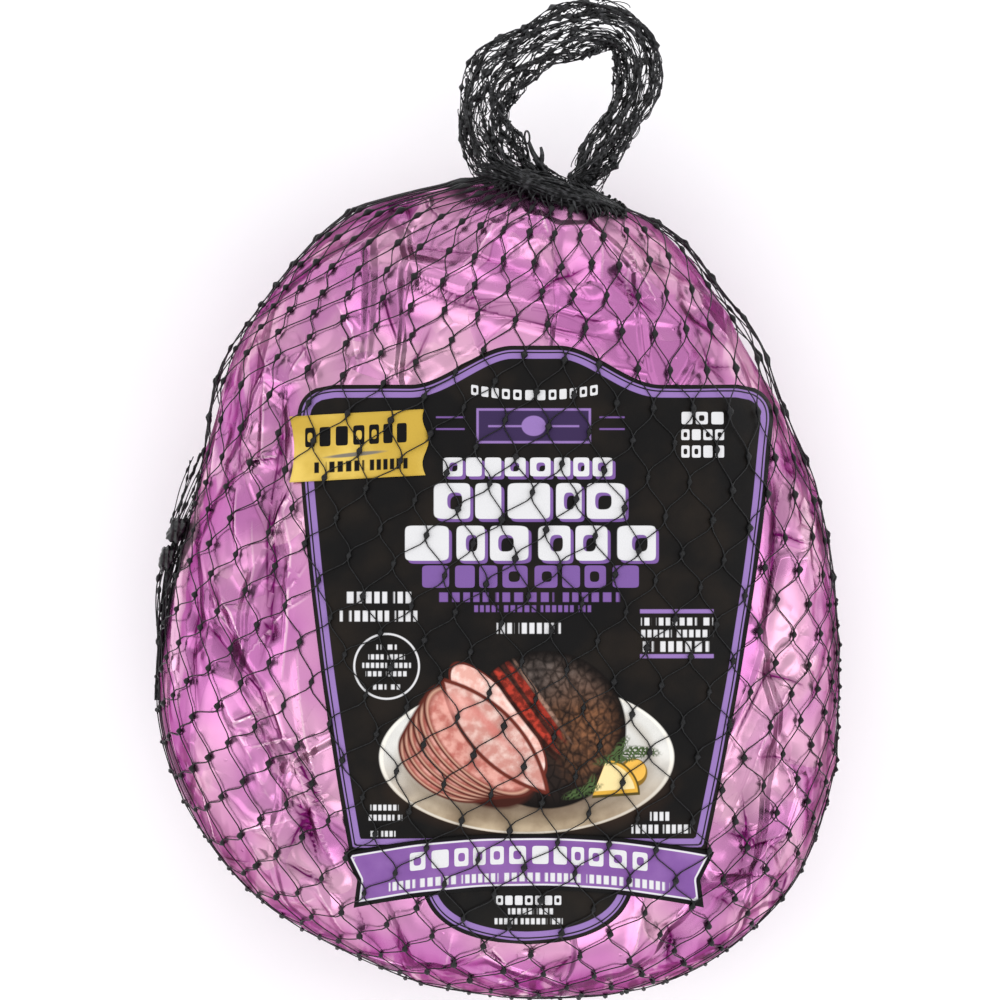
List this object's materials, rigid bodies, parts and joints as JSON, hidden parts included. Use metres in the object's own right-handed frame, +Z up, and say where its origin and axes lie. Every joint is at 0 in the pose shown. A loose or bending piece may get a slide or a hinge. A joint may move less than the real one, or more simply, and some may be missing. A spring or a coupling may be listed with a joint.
{
  "type": "netted film-wrapped ham",
  "caption": "Shut pack of boneless ham in crinkled metallised film with a die-cut front label, held in a tight black net with a carrying loop.",
  "frame": {"origin": "middle of the underside of the whole object's box: the pack lies on its back at z = 0", "axes": "+Z up, out of the labelled front; +Y towards the carrying loop; +X to the right when the label is read upright"},
  "size_m": [0.2048, 0.298, 0.1304],
  "materials": {
    "film": "metallised pink-purple film, creased, with soft bright reflections",
    "label": "satin coated paper, black with lilac lines and simple fields of colour",
    "netting": "black extruded polyethylene net with a slight sheen",
    "clip": "smooth black plastic"
  },
  "bodies": {
    "root": {"film_wrapped_ham": "film", "label": "label", "net_loop": "netting", "net_tail": "netting", "tail_clip": "clip"}
  },
  "joints": []
}
